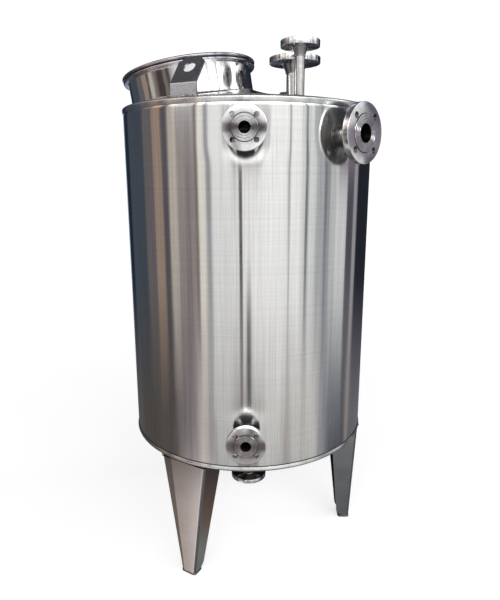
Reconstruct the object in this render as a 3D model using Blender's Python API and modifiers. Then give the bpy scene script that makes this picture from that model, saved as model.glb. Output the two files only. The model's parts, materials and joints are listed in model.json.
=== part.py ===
# Vertical stainless-steel storage tank on three folded legs.
# Units are metres, +Z is up and the feet stand on Z = 0.
# The tank's axis is the local Z axis of the empty called tank_axis. The empty is
# shifted so that the middle of the whole object's box lies on the world Z axis.
# Azimuths are in degrees from +X, counter-clockwise from above; the front is at -90.

import math

import bmesh
import bpy
from mathutils import Matrix, Vector

# Driving dimensions of the vessel
TANK_RADIUS = 0.400
SHEET = 0.003
GAP = 0.0003
LEG_HEIGHT = 0.416
BODY_HEIGHT = 1.066
RIM_HEIGHT = 0.018
RIM_PROUD = 0.003
RIM_POINTS = 4
KNUCKLE = 0.006
ROOF_LIFT = 0.001
FLOOR_DROP = 0.003
CONE_SLOPE = math.radians(8.8)
TURN_STEPS = 72
SMALL_STEPS = 32
HOLE_STEPS = 24
EDGE_POINTS = 4
DISH_POINTS = 4
CUT_PAST = 0.02

# Heights of the rims, and of the cones where they leave the knuckles
RIM_LOW = LEG_HEIGHT
RIM_TOP = LEG_HEIGHT + BODY_HEIGHT
CONE_RADIUS = TANK_RADIUS - KNUCKLE
ROOF_EDGE = RIM_TOP + ROOF_LIFT
FLOOR_EDGE = RIM_LOW - FLOOR_DROP

# Manway on the roof, left of the axis and square to the cone there
MANWAY_AZIMUTH = 167.0
MANWAY_OFFSET = 0.184
NECK_RADIUS = 0.2015
NECK_WALL = 0.004
NECK_HEIGHT = 0.080
NECK_INSIDE = 0.032
LIP_RADIUS = 0.217
LIP_HEIGHT = 0.009
LIP_CHAMFER = 0.002
GASKET_HEIGHT = 0.0014
GASKET_WIDTH = 0.013
LID_RADIUS = 0.219
LID_EDGE = 0.009
LID_STEP = 0.0005
LID_CLEARANCE = 0.003
LID_DISH = 0.014
HANDLE_SPAN = 0.120
HANDLE_RISE = 0.030
HANDLE_ROD = 0.010
HANDLE_BEND = 0.014
HANDLE_GAP = 0.0006

# Heights over the manway's foot
LIP_TOP = NECK_HEIGHT + LIP_HEIGHT
GASKET_TOP = LIP_TOP + GAP + GASKET_HEIGHT
LID_LOW = GASKET_TOP + GAP
LID_TOP = LID_LOW + LID_EDGE

# Legs, each a sheet folded to a channel that opens towards the axis
LEG_AZIMUTH = -1.4
LEG_SHEET = 0.004
LEG_FACE = (0.395, 0.385)
LEG_HALF_WIDTH = (0.0845, 0.0270)
LEG_FLANK = (0.0975, 0.0455)
LEG_FOLD = 0.009
LEG_CORNER = 0.026
FOOT_THICK = 0.006
FOOT_CORNER = 0.009
FOOT_PROUD = 0.001
FOOT_SHORTER = 0.0032

# Lifting lugs, each a bent plate on the roof's edge
LUG_AZIMUTHS = {"lifting_lug_front": -115.5, "lifting_lug_rear": 64.5}
LUG_RADIUS = 0.393
LUG_WIDTH = 0.080
LUG_PLATE = 0.005
LUG_UPRIGHT = 0.035
LUG_BLADE = 0.095
LUG_LEAN = math.radians(38)
LUG_CHAMFER = 0.020
LUG_HOLE = 0.0175
LUG_HOLE_AT = 0.056
LUG_BELOW = 0.012

# Flanges: radius, thickness, raised face radius, bolt circle radius, hole radius,
# tube radius and tube wall. The raised face stands RAISED_LIFT proud.
RAISED_LIFT = 0.002
FLANGE_BEVEL = 0.001
FRONT_FLANGE = dict(radius=0.0575, thick=0.016, raised=0.034, circle=0.0425,
                    hole=0.007, tube=0.01685, wall=0.0026)
VENT_FLANGE = dict(radius=0.0575, thick=0.018, raised=0.034, circle=0.0425,
                   hole=0.007, tube=0.0145, wall=0.0015)
LARGE_FLANGE = dict(radius=0.0825, thick=0.018, raised=0.051, circle=0.0625,
                    hole=0.009, tube=0.0265, wall=0.0015)
OUTLET_FLANGE = dict(radius=0.065, thick=0.015, raised=0.040, circle=0.050,
                     hole=0.007, tube=0.0205, wall=0.0015)
HUB_FLARE = 1.42
HUB_FOOT = 1.10
HUB_CHAMFER = 0.002

# Nozzles through the shell: flange, azimuth, height above the lower rim, reach
SIDE_NOZZLES = {
    "front_upper": (FRONT_FLANGE, -91.0, 0.980, 0.066),
    "front_lower": (FRONT_FLANGE, -91.0, 0.116, 0.066),
    "side": (LARGE_FLANGE, -45.3, 0.976, 0.058),
}
# Nozzles through the roof: flange, place on the roof, height of the sealing face
# above the lower rim, and length of the tapered hub behind the flange
ROOF_NOZZLES = {
    "top_front": (VENT_FLANGE, (0.153, -0.170), 1.246, 0.023),
    "top_rear": (LARGE_FLANGE, (0.153, 0.010), 1.236, 0.027),
}
TUBE_INSIDE = 0.008
OUTLET_FACE = 0.256

STEEL = (0.62, 0.62, 0.63)
BRIGHT_STEEL = (0.75, 0.75, 0.76)
DULL_STEEL = (0.42, 0.41, 0.40)
DARK_STEEL = (0.20, 0.19, 0.20)
RUBBER = (0.03, 0.03, 0.03)


def clear_scene():
    for old in list(bpy.data.objects):
        bpy.data.objects.remove(old, do_unlink=True)


def new_collection(name):
    made = bpy.data.collections.new(name)
    bpy.context.scene.collection.children.link(made)
    return made


def new_material(name, colour, roughness, metallic):
    made = bpy.data.materials.new(name)
    made.use_nodes = True
    shader = made.node_tree.nodes["Principled BSDF"]
    shader.inputs["Base Color"].default_value = (*colour, 1)
    shader.inputs["Roughness"].default_value = roughness
    shader.inputs["Metallic"].default_value = metallic
    return made


def place(obj, matrix):
    """Puts an object in the tank's own frame, whose origin is on the axis at the floor."""
    obj.parent = tank_axis
    obj.matrix_local = matrix
    return obj


def add_part(name, mesh, look, matrix=None):
    colour, roughness, metallic = look
    mesh.materials.append(new_material(name, colour, roughness, metallic))
    mesh.shade_smooth()
    mesh.set_sharp_from_angle(angle=math.radians(30))
    obj = bpy.data.objects.new(name, mesh)
    parts.objects.link(obj)
    return place(obj, matrix or Matrix())


def add_cutter(name, mesh, matrix=None):
    obj = bpy.data.objects.new(name, mesh)
    cutters.objects.link(obj)
    obj.hide_render = True
    obj.display_type = "WIRE"
    return place(obj, matrix or Matrix())


def mesh_from(bm, name):
    mesh = bpy.data.meshes.new(name)
    bm.to_mesh(mesh)
    bm.free()
    return mesh


def cut(obj, cutter):
    boolean = obj.modifiers.new(cutter.name, "BOOLEAN")
    boolean.operation = "DIFFERENCE"
    boolean.solver = "EXACT"
    boolean.object = cutter


def profile_mesh(name, points, closed):
    """Edges along (radius, height) points, for a Screw about Z."""
    bm = bmesh.new()
    verts = [bm.verts.new((radius, 0, height)) for radius, height in points]
    for a, b in zip(verts, verts[1:]):
        bm.edges.new((a, b))
    if closed:
        bm.edges.new((verts[-1], verts[0]))
    return mesh_from(bm, name)


def turn(obj, steps):
    screw = obj.modifiers.new("turned", "SCREW")
    screw.axis = "Z"
    screw.steps = steps
    screw.render_steps = steps
    screw.use_merge_vertices = True
    screw.merge_threshold = 0.00001
    screw.use_smooth_shade = True
    return obj


def turned_part(name, points, look, closed=True, steps=TURN_STEPS, matrix=None):
    return turn(add_part(name, profile_mesh(name, points, closed), look, matrix), steps)


def turned_cutter(name, points, steps=TURN_STEPS, matrix=None):
    return turn(add_cutter(name, profile_mesh(name, points, False), matrix), steps)


def rod_cutter(name, radius, low, high, matrix=None, centres=((0, 0),), steps=SMALL_STEPS):
    """Parallel cylinders from low to high along Z, as one cutting mesh."""
    bm = bmesh.new()
    for x, y in centres:
        middle = Matrix.Translation((x, y, (low + high) / 2))
        bmesh.ops.create_cone(bm, cap_ends=True, segments=steps, radius1=radius,
                              radius2=radius, depth=high - low, matrix=middle)
    return add_cutter(name, mesh_from(bm, name), matrix)


def arc(centre, radius, start, end, steps):
    """Points of an arc, with angles in degrees from the outward direction."""
    points = []
    for i in range(steps + 1):
        angle = math.radians(start + (end - start) * i / steps)
        points.append((centre[0] + radius * math.cos(angle),
                       centre[1] + radius * math.sin(angle)))
    return points


def cone_drop(radius):
    """How far the cone at this radius lies from its edge, measured along Z."""
    return (CONE_RADIUS - radius) * math.tan(CONE_SLOPE)


def roof_height(radius):
    return ROOF_EDGE + cone_drop(radius)


def rim_bead(low, high):
    """Outer points of a rim band, from high to low."""
    points = []
    for i in range(RIM_POINTS + 1):
        share = i / RIM_POINTS
        bulge = RIM_PROUD * (1 - (2 * share - 1) ** 2)
        points.append((TANK_RADIUS + bulge, high + (low - high) * share))
    return points


def roof_outline():
    return ([(0, roof_height(0)), (CONE_RADIUS, ROOF_EDGE)]
            + rim_bead(RIM_TOP - RIM_HEIGHT, RIM_TOP))


def floor_outline():
    return (rim_bead(RIM_LOW, RIM_LOW + RIM_HEIGHT)
            + [(CONE_RADIUS, FLOOR_EDGE)])


def make_shell():
    low = RIM_LOW + RIM_HEIGHT + GAP
    high = RIM_TOP - RIM_HEIGHT - GAP
    inner = TANK_RADIUS - SHEET
    points = [(inner, high), (TANK_RADIUS, high), (TANK_RADIUS, low), (inner, low)]
    return turned_part("shell", points, (STEEL, 0.22, 1.0))


def make_roof():
    inner = TANK_RADIUS - SHEET
    thick = SHEET / math.cos(CONE_SLOPE)
    hollow = [(inner, RIM_TOP - RIM_HEIGHT),
              (inner, ROOF_EDGE - thick + cone_drop(inner)),
              (0, roof_height(0) - thick)]
    return turned_part("roof_cone", roof_outline() + hollow, (STEEL, 0.25, 1.0), False)


def make_floor():
    """The conical floor, pierced at its lowest point by the outlet tube."""
    inner = TANK_RADIUS - SHEET
    thick = SHEET / math.cos(CONE_SLOPE)
    hole = OUTLET_FLANGE["tube"] + GAP
    drain = FLOOR_EDGE - cone_drop(hole)
    points = floor_outline() + [
        (hole, drain),
        (hole, drain + thick),
        (inner, FLOOR_EDGE + thick - cone_drop(inner)),
        (inner, RIM_LOW + RIM_HEIGHT),
    ]
    return turned_part("floor_cone", points, (STEEL, 0.25, 1.0))


def manway_frame():
    """The neck's axis leans outwards by the cone's slope, so it is square to the cone."""
    return (Matrix.Rotation(math.radians(MANWAY_AZIMUTH), 4, "Z")
            @ Matrix.Translation((MANWAY_OFFSET, 0, roof_height(MANWAY_OFFSET)))
            @ Matrix.Rotation(CONE_SLOPE, 4, "Y"))


def rounded_edge(radius, low, high):
    """A band's outer side, from high to low, as a half round."""
    half = (high - low) / 2
    return arc((radius - half, low + half), half, 90, -90, EDGE_POINTS)


def make_neck(roof, frame):
    """The manway's neck with its lip, cut flush with the roof's inner side."""
    bore = NECK_RADIUS - NECK_WALL
    points = ([(bore, LIP_TOP)] + rounded_edge(LIP_RADIUS, NECK_HEIGHT, LIP_TOP)
              + [(NECK_RADIUS + LIP_CHAMFER, NECK_HEIGHT),
                 (NECK_RADIUS, NECK_HEIGHT - LIP_CHAMFER),
                 (NECK_RADIUS, -NECK_INSIDE), (bore, -NECK_INSIDE)])
    neck = turned_part("manway_neck", points, (BRIGHT_STEEL, 0.08, 1.0), matrix=frame)
    under = roof_height(0) - SHEET / math.cos(CONE_SLOPE)
    far_below = RIM_TOP - NECK_RADIUS
    inside = turned_cutter("inside_of_roof", [
        (0, under), (TANK_RADIUS, under - TANK_RADIUS * math.tan(CONE_SLOPE)),
        (TANK_RADIUS, far_below), (0, far_below)])
    cut(neck, inside)
    cut(roof, rod_cutter("manway_hole", NECK_RADIUS + GAP, -NECK_HEIGHT, NECK_HEIGHT,
                         frame, steps=TURN_STEPS))


def make_gasket(frame):
    outer = NECK_RADIUS + GASKET_WIDTH
    points = ([(NECK_RADIUS, GASKET_TOP)]
              + rounded_edge(outer, GASKET_TOP - GASKET_HEIGHT, GASKET_TOP)
              + [(NECK_RADIUS, GASKET_TOP - GASKET_HEIGHT)])
    turned_part("manway_gasket", points, (RUBBER, 0.6, 0.0), matrix=frame)


def lid_height(radius):
    """Height of the dished lid's upper side over the manway's foot."""
    crown = NECK_RADIUS - NECK_WALL - LID_CLEARANCE
    return LID_TOP - LID_STEP + LID_DISH * (1 - (radius / crown) ** 2)


def make_lid(frame):
    bore = NECK_RADIUS - NECK_WALL
    crown = bore - LID_CLEARANCE
    dish = [crown * i / DISH_POINTS for i in range(DISH_POINTS + 1)]
    points = ([(r, lid_height(r)) for r in dish]
              + rounded_edge(LID_RADIUS, LID_LOW, LID_TOP) + [(bore, LID_LOW)]
              + [(r, lid_height(r) - SHEET) for r in reversed(dish)])
    turned_part("manway_lid", points, (BRIGHT_STEEL, 0.08, 1.0), False, matrix=frame)


def add_handle(frame):
    """A bow of round rod that stands on the lid, bent with round corners."""
    at = HANDLE_SPAN / 2
    bow = lid_height(0) + HANDLE_RISE - HANDLE_ROD / 2
    corner = (at - HANDLE_BEND, bow - HANDLE_BEND)
    side = [(at, lid_height(at) + HANDLE_GAP)] + arc(corner, HANDLE_BEND, 0, 90, 5)
    route = side + [(-x, z) for x, z in reversed(side)]
    curve = bpy.data.curves.new("lid_handle", "CURVE")
    curve.dimensions = "3D"
    curve.bevel_depth = HANDLE_ROD / 2
    curve.bevel_resolution = 3
    curve.use_fill_caps = True
    spline = curve.splines.new("POLY")
    spline.points.add(len(route) - 1)
    for point, (y, z) in zip(spline.points, route):
        point.co = (0, y, z, 1)
    curve.materials.append(new_material("lid_handle", BRIGHT_STEEL, 0.15, 1.0))
    handle = bpy.data.objects.new("lid_handle", curve)
    parts.objects.link(handle)
    place(handle, frame)


def ring_places(spec):
    """Centres of the four bolt holes, halfway between the flange's main axes."""
    angles = [math.radians(45 + 90 * i) for i in range(4)]
    return [(spec["circle"] * math.cos(a), spec["circle"] * math.sin(a)) for a in angles]


def add_nozzle(name, spec, frame, length, hub=0):
    """A tube along the frame's Z axis from -length to the flange, whose face is at 0.

    A flange with a hub tapers down to the tube behind it, and one without is flat."""
    radius, raised = spec["radius"], spec["raised"]
    bore = spec["tube"] - spec["wall"]
    back = -RAISED_LIFT - spec["thick"]
    end = back - hub
    points = [(bore, 0), (raised, 0), (raised, -RAISED_LIFT),
              (radius - FLANGE_BEVEL, -RAISED_LIFT), (radius, -RAISED_LIFT - FLANGE_BEVEL),
              (radius, back + FLANGE_BEVEL), (radius - FLANGE_BEVEL, back)]
    if hub:
        flare = spec["tube"] * HUB_FLARE
        points += [(flare + HUB_CHAMFER, back), (flare, back - HUB_CHAMFER),
                   (spec["tube"] * HUB_FOOT, end)]
    points += [(bore, end)]
    flange = turned_part(name + "_flange", points, (STEEL, 0.2, 1.0), matrix=frame,
                         steps=SMALL_STEPS)
    cut(flange, rod_cutter(name + "_bolt_holes", spec["hole"], back - CUT_PAST, CUT_PAST,
                           frame, ring_places(spec), HOLE_STEPS))
    tube_top = end - GAP
    tube = [(bore, tube_top), (spec["tube"], tube_top), (spec["tube"], -length),
            (bore, -length)]
    turned_part(name + "_tube", tube, (STEEL, 0.2, 1.0), matrix=frame, steps=SMALL_STEPS)


def add_side_nozzles(shell):
    for name, (spec, azimuth, height, reach) in SIDE_NOZZLES.items():
        frame = (Matrix.Rotation(math.radians(azimuth), 4, "Z")
                 @ Matrix.Translation((TANK_RADIUS + reach, 0, RIM_LOW + height))
                 @ Matrix.Rotation(math.radians(90), 4, "Y"))
        length = reach + SHEET + TUBE_INSIDE
        add_nozzle(name, spec, frame, length)
        cut(shell, rod_cutter(name + "_hole", spec["tube"] + GAP, -length - CUT_PAST,
                              -reach + CUT_PAST, frame))


def add_roof_nozzles(roof):
    for name, (spec, (x, y), height, hub) in ROOF_NOZZLES.items():
        frame = Matrix.Translation((x, y, RIM_LOW + height))
        reach = RIM_LOW + height - roof_height(math.hypot(x, y))
        length = reach + 2 * SHEET + TUBE_INSIDE
        add_nozzle(name, spec, frame, length, hub)
        cut(roof, rod_cutter(name + "_hole", spec["tube"] + GAP, -length - CUT_PAST,
                             -reach + CUT_PAST, frame))


def add_outlet():
    """The drain tube under the floor cone, with its flange facing down."""
    face = RIM_LOW - OUTLET_FACE
    frame = Matrix.Translation((0, 0, face)) @ Matrix.Rotation(math.pi, 4, "X")
    top = FLOOR_EDGE - cone_drop(OUTLET_FLANGE["tube"]) + 2 * SHEET
    add_nozzle("outlet", OUTLET_FLANGE, frame, top - face)


def leg_sheet():
    """The leg's outer surface: flank, face and flank, open towards the axis."""
    bm = bmesh.new()
    levels = ((RIM_LOW - GAP, 0), (FOOT_THICK + GAP, 1))
    rows = []
    for height, end in levels:
        out, half, deep = LEG_FACE[end], LEG_HALF_WIDTH[end], LEG_FLANK[end]
        corners = [(out - deep, -half), (out, -half), (out, half), (out - deep, half)]
        rows.append([bm.verts.new((x, y, height)) for x, y in corners])
    top, foot = rows
    for i in range(3):
        bm.faces.new((foot[i], foot[i + 1], top[i + 1], top[i]))
    bm.edges.ensure_lookup_table()
    bmesh.ops.bevel(bm, geom=[foot[0], foot[3]], offset=LEG_CORNER, segments=5,
                    profile=0.5, affect="VERTICES")
    folds = [e for e in bm.edges if len(e.link_faces) == 2]
    bmesh.ops.bevel(bm, geom=folds, offset=LEG_FOLD, segments=4, profile=0.5,
                    affect="EDGES")
    bmesh.ops.recalc_face_normals(bm, faces=bm.faces)
    outward = max(bm.faces, key=lambda face: face.calc_area())
    if outward.normal.dot(outward.calc_center_median() - Vector((0.3, 0, 0.2))) < 0:
        bmesh.ops.reverse_faces(bm, faces=bm.faces)
    return mesh_from(bm, "leg")


def foot_plate():
    """The pad under a leg, with the channel's outline and rounded corners."""
    out, half, deep = LEG_FACE[1], LEG_HALF_WIDTH[1], LEG_FLANK[1]
    long = deep - FOOT_SHORTER
    bm = bmesh.new()
    bmesh.ops.create_cube(bm, size=1)
    bmesh.ops.scale(bm, verts=bm.verts, vec=(long, 2 * (half + FOOT_PROUD), FOOT_THICK))
    bmesh.ops.translate(bm, verts=bm.verts,
                        vec=(out + FOOT_PROUD - long / 2, 0, FOOT_THICK / 2))
    upright = [e for e in bm.edges
               if abs(e.verts[0].co.z - e.verts[1].co.z) > FOOT_THICK / 2]
    bmesh.ops.bevel(bm, geom=upright, offset=FOOT_CORNER, segments=4, profile=0.5,
                    affect="EDGES")
    return mesh_from(bm, "foot_plate")


def add_legs():
    """Three alike legs, cut on top by the floor cone that they carry."""
    edge = TANK_RADIUS + RIM_PROUD + CUT_PAST
    under = turned_cutter("under_floor_cone", [
        (0, RIM_LOW + CUT_PAST), (edge, RIM_LOW + CUT_PAST), (edge, RIM_LOW),
        (CONE_RADIUS, FLOOR_EDGE - GAP), (0, FLOOR_EDGE - GAP - cone_drop(0))])
    for name, turn_by in (("right", 0), ("rear", 120), ("front", -120)):
        frame = Matrix.Rotation(math.radians(LEG_AZIMUTH + turn_by), 4, "Z")
        leg = add_part("leg_" + name, leg_sheet(), (DULL_STEEL, 0.45, 1.0), frame)
        plate = leg.modifiers.new("plate", "SOLIDIFY")
        plate.thickness = LEG_SHEET
        plate.offset = -1
        plate.use_even_offset = True
        cut(leg, under)
        add_part("foot_" + name, foot_plate(), (DULL_STEEL, 0.5, 1.0), frame)


def lug_outline():
    """The bent plate's edge in the plane of the radius, as (outward, height) points."""
    outer = [(0.0, -LUG_BELOW), (0.0, LUG_UPRIGHT)]
    tip = (-LUG_BLADE * math.sin(LUG_LEAN), LUG_UPRIGHT + LUG_BLADE * math.cos(LUG_LEAN))
    across = (-LUG_PLATE * math.cos(LUG_LEAN), -LUG_PLATE * math.sin(LUG_LEAN))
    inner_bend = LUG_UPRIGHT - LUG_PLATE * math.tan(LUG_LEAN / 2)
    inner = [(tip[0] + across[0], tip[1] + across[1]), (-LUG_PLATE, inner_bend),
             (-LUG_PLATE, -LUG_BELOW)]
    return outer + [tip] + inner


def lug_mesh():
    bm = bmesh.new()
    half = LUG_WIDTH / 2
    verts = [bm.verts.new((x, -half, z)) for x, z in lug_outline()]
    side = bm.faces.new(verts)
    swept = bmesh.ops.extrude_face_region(bm, geom=[side])
    moved = [v for v in swept["geom"] if isinstance(v, bmesh.types.BMVert)]
    bmesh.ops.translate(bm, verts=moved, vec=(0, LUG_WIDTH, 0))
    bmesh.ops.recalc_face_normals(bm, faces=bm.faces)
    return mesh_from(bm, "lug")


def corner_cutter_mesh():
    """Two boxes turned by 45 degrees that take the blade's upper corners off."""
    bm = bmesh.new()
    size = LUG_WIDTH
    reach = LUG_CHAMFER / math.sqrt(2)
    for side in (-1, 1):
        corner = Vector((0, side * LUG_WIDTH / 2, LUG_BLADE))
        inwards = Vector((0, -side, -1)).normalized()
        centre = corner + inwards * (reach - size / 2)
        turn_box = Matrix.Translation(centre) @ Matrix.Rotation(math.radians(45), 4, "X")
        bmesh.ops.create_cube(bm, size=size, matrix=turn_box)
    return mesh_from(bm, "lug_corners")


def add_lugs():
    over = turned_cutter("over_roof", [
        (0, roof_height(0) + GAP), (CONE_RADIUS, ROOF_EDGE + GAP),
        (TANK_RADIUS + GAP, RIM_TOP), (TANK_RADIUS + GAP, RIM_TOP - 2 * LUG_BELOW),
        (0, RIM_TOP - 2 * LUG_BELOW)])
    for name, azimuth in LUG_AZIMUTHS.items():
        frame = (Matrix.Rotation(math.radians(azimuth), 4, "Z")
                 @ Matrix.Translation((LUG_RADIUS, 0, RIM_TOP)))
        blade = (frame @ Matrix.Translation((0, 0, LUG_UPRIGHT))
                 @ Matrix.Rotation(-LUG_LEAN, 4, "Y"))
        lug = add_part(name, lug_mesh(), (DARK_STEEL, 0.4, 1.0), frame)
        cut(lug, over)
        cut(lug, add_cutter(name + "_corners", corner_cutter_mesh(), blade))
        hole = (blade @ Matrix.Translation((0, 0, LUG_HOLE_AT))
                @ Matrix.Rotation(math.radians(90), 4, "Y"))
        cut(lug, rod_cutter(name + "_hole", LUG_HOLE, -CUT_PAST, CUT_PAST, hole))


def centre_on_box():
    """Where the tank's axis stands when the object's box is centred on the world Z axis."""
    frame = manway_frame()
    lid_axis = frame.to_3x3().col[2]
    lid_mid = frame @ Vector((0, 0, (LID_LOW + LID_TOP) / 2))
    lid_reach = ((LID_RADIUS - LID_EDGE / 2) * math.sqrt(1 - lid_axis.x ** 2)
                 + LID_EDGE / 2)
    rim = TANK_RADIUS + RIM_PROUD
    left = min(lid_mid.x - lid_reach, -rim)
    spec, azimuth, _, reach = SIDE_NOZZLES["front_upper"]
    turned_by = math.radians(azimuth)
    front = ((TANK_RADIUS + reach) * math.sin(turned_by)
             - spec["raised"] * abs(math.cos(turned_by)))
    return (-(left + rim) / 2, -(front + rim) / 2, 0)


clear_scene()
parts = new_collection("storage_tank")
cutters = new_collection("cutters")
tank_axis = bpy.data.objects.new("tank_axis", None)
tank_axis.location = centre_on_box()
parts.objects.link(tank_axis)

tank_shell = make_shell()
tank_roof = make_roof()
make_floor()
manway = manway_frame()
make_neck(tank_roof, manway)
make_gasket(manway)
make_lid(manway)
add_handle(manway)
add_side_nozzles(tank_shell)
add_roof_nozzles(tank_roof)
add_outlet()
add_legs()
add_lugs()
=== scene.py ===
# Looks of a vertical stainless-steel storage tank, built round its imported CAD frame.
# Units are metres, +Z is up, and every piece is made where its CAD node stands.
# Azimuths are in degrees from +X, counter-clockwise from above; the front is at -90.
# Only the world's azimuths count from the front, and grow towards the right.

from collections import namedtuple
import json
import math

import bmesh
import bpy
import numpy as np
from mathutils import Matrix, Vector

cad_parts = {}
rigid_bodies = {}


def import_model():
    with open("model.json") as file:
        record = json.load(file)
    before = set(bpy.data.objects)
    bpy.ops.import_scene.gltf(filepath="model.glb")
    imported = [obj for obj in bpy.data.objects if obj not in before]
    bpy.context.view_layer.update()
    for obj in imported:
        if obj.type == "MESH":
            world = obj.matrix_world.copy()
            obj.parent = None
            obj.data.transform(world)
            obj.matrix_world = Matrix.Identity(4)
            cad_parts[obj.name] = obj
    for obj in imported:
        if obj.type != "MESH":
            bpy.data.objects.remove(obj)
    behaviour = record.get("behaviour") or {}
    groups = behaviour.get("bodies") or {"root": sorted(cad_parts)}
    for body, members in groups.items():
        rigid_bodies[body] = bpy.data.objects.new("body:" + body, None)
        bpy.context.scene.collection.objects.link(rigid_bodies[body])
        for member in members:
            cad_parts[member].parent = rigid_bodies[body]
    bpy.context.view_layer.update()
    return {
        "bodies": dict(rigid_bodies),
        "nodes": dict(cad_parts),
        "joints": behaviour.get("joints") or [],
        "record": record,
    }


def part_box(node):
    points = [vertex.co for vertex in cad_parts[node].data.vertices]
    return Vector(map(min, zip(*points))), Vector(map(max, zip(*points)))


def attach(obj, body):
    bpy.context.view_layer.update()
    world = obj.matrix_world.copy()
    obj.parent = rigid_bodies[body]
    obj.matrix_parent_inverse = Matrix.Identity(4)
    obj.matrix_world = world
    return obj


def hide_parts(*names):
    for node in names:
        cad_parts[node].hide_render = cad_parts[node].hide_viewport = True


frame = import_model()

# The vessel, with the same sizes as the CAD source
TANK_RADIUS = 0.400
SHEET = 0.003
GAP = 0.0003
RIM_LOW = 0.416
RIM_TOP = 1.482
RIM_HEIGHT = 0.018
RIM_OUT = TANK_RADIUS + 0.00285
RIM_LEAN = 0.0022
KNUCKLE_HIGH = 0.007
CONE_RADIUS = 0.394
CONE_SLOPE = math.radians(8.8)
CONE_SHEET = SHEET / math.cos(CONE_SLOPE)
ROOF_EDGE = RIM_TOP + 0.001
FLOOR_EDGE = RIM_LOW - 0.003
ROOF_RADII = [0, 0.08, 0.16, 0.24, 0.32, 0.37, CONE_RADIUS - 0.004]
SEAM_DARK = 0.0018

MANWAY_AZIMUTH = 167.0
MANWAY_OFFSET = 0.184
NECK_RADIUS = 0.2015
NECK_WALL = 0.004
NECK_HEIGHT = 0.080
NECK_INSIDE = 0.032
NECK_FILLET = 0.003
LIP_RADIUS = 0.217
LIP_TOP = NECK_HEIGHT + 0.009
GASKET_RADIUS = NECK_RADIUS + 0.013
GASKET_LOW = LIP_TOP + GAP
GASKET_TOP = GASKET_LOW + 0.0014
LID_RADIUS = 0.2188
LID_LOW = GASKET_TOP + GAP
LID_TOP = LID_LOW + 0.009
LID_DISH = 0.014
HANDLE_HALF = 0.060
HANDLE_RISE = 0.030
HANDLE_ROD = 0.005
HANDLE_BEND = 0.014
COLLAR_WIDE = (0.008, 0.085)
COLLAR_HIGH = 0.012
COLLAR_BEND = 0.35
COLLAR_SWELL = 0.004

LEG_AZIMUTHS = {"right": -1.4, "rear": 118.6, "front": -121.4}
LEG_SHEET = 0.004
# Each pair is at the leg's top and at its foot
LEG_FACE = (0.395, 0.385)
LEG_HALF_WIDTH = (0.0845, 0.0270)
LEG_FLANK = (0.0975, 0.0455)
LEG_CREASE = (0.036, 0.0112)
LEG_PRESSED = (0.0024, 0.0007)
LEG_FOLD = 0.009
LEG_CORNER = 0.026
LEG_HOLLOW = (0.3, 0, 0.2)
FOOT_THICK = 0.006
FOOT_CORNER = 0.009

LUG_AZIMUTHS = {"lifting_lug_front": -115.5, "lifting_lug_rear": 64.5}
LUG_RADIUS = 0.393
LUG_WIDTH = 0.080
LUG_PLATE = 0.005
LUG_UPRIGHT = 0.035
LUG_BELOW = 0.012
LUG_BLADE = 0.095
LUG_BEND = 0.008
LUG_LEAN = 38
LUG_CHAMFER = 0.020
LUG_HOLE = 0.0175
LUG_HOLE_AT = 0.056

RAISED_LIFT = 0.002
Flange = namedtuple("Flange", "radius thick raised circle hole tube wall")
FRONT_FLANGE = Flange(0.0575, 0.016, 0.034, 0.0425, 0.007, 0.01685, 0.0026)
VENT_FLANGE = Flange(0.0575, 0.018, 0.034, 0.0425, 0.007, 0.0145, 0.0015)
LARGE_FLANGE = Flange(0.0825, 0.018, 0.051, 0.0625, 0.009, 0.0265, 0.0015)
OUTLET_FLANGE = Flange(0.065, 0.015, 0.040, 0.050, 0.007, 0.0205, 0.0015)
FLANGE_EDGE = 0.0013
GROOVE_DEEP = 0.0008
GROOVE_PITCH = 0.0070
STEP_DEEP = RAISED_LIFT + 0.0022
HUB_FILLET = 0.004
TUBE_INSIDE = 0.008
OUTLET_FACE = 0.256
# Each side nozzle's flange, azimuth, height above the lower rim and reach from the shell
SIDE_NOZZLES = {
    "front_upper": (FRONT_FLANGE, -91.0, 0.980, 0.066),
    "front_lower": (FRONT_FLANGE, -91.0, 0.116, 0.066),
    "side": (LARGE_FLANGE, -45.3, 0.976, 0.058),
}
# Each roof nozzle's flange, place, height above the lower rim and hub
ROOF_NOZZLES = {
    "top_front": (VENT_FLANGE, (0.153, -0.170), 1.246, 0.023),
    "top_rear": (LARGE_FLANGE, (0.153, 0.010), 1.236, 0.027),
}

# How much painted shade the back of each side nozzle's flange gets, darker and duller, from 0 to 1
BACK_SHADE = {"front_upper": 0.85, "front_lower": 0.2, "side": 0.66}
# The dish that each nozzle's weld drew in the shell: its depth, length, width and lift above
# the nozzle, and the side where it ends, above (1) or below (-1)
DISHES = {"front_upper": (0.0065, 0.068, 0.060, 0.0, -1),
          "front_lower": (-0.0035, 0.060, 0.054, 0.0, 1),
          "side": (0.011, 0.100, 0.072, 0.060, -1)}
# The middle of the painted shade beside the lug on the manway's neck, in the neck's own frame
LUG_SHADE_AT = (0.018, 0.2006, 0)

# Welds: the steps of a bead's path, the pitch of its ripples, and its radius
WELD_STEP = 0.0006
WELD_PITCH = 0.0026
BEAD = {"handle": 0.0011, "manway": 0.0012, "flange": 0.0013, "leg": 0.0016, "shell": 0.0020,
        "roof": 0.0036}
CREASE = 35

# The camera, as solved from the photograph
CAMERA_BACK = 1.8232
CAMERA_UP = 0.8584
CAMERA_PITCH = 13.083
CAMERA_YAW = 0.208
CAMERA_ROLL = -0.110
LENS = 31.59


def move(x, y, z):
    return Matrix.Translation((x, y, z))


def rotate(degrees, axis):
    return Matrix.Rotation(math.radians(degrees), 4, axis)


low_corner, high_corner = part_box("shell")
AXIS = move((low_corner[0] + high_corner[0]) / 2, (low_corner[1] + high_corner[1]) / 2, 0)


# Materials


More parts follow.
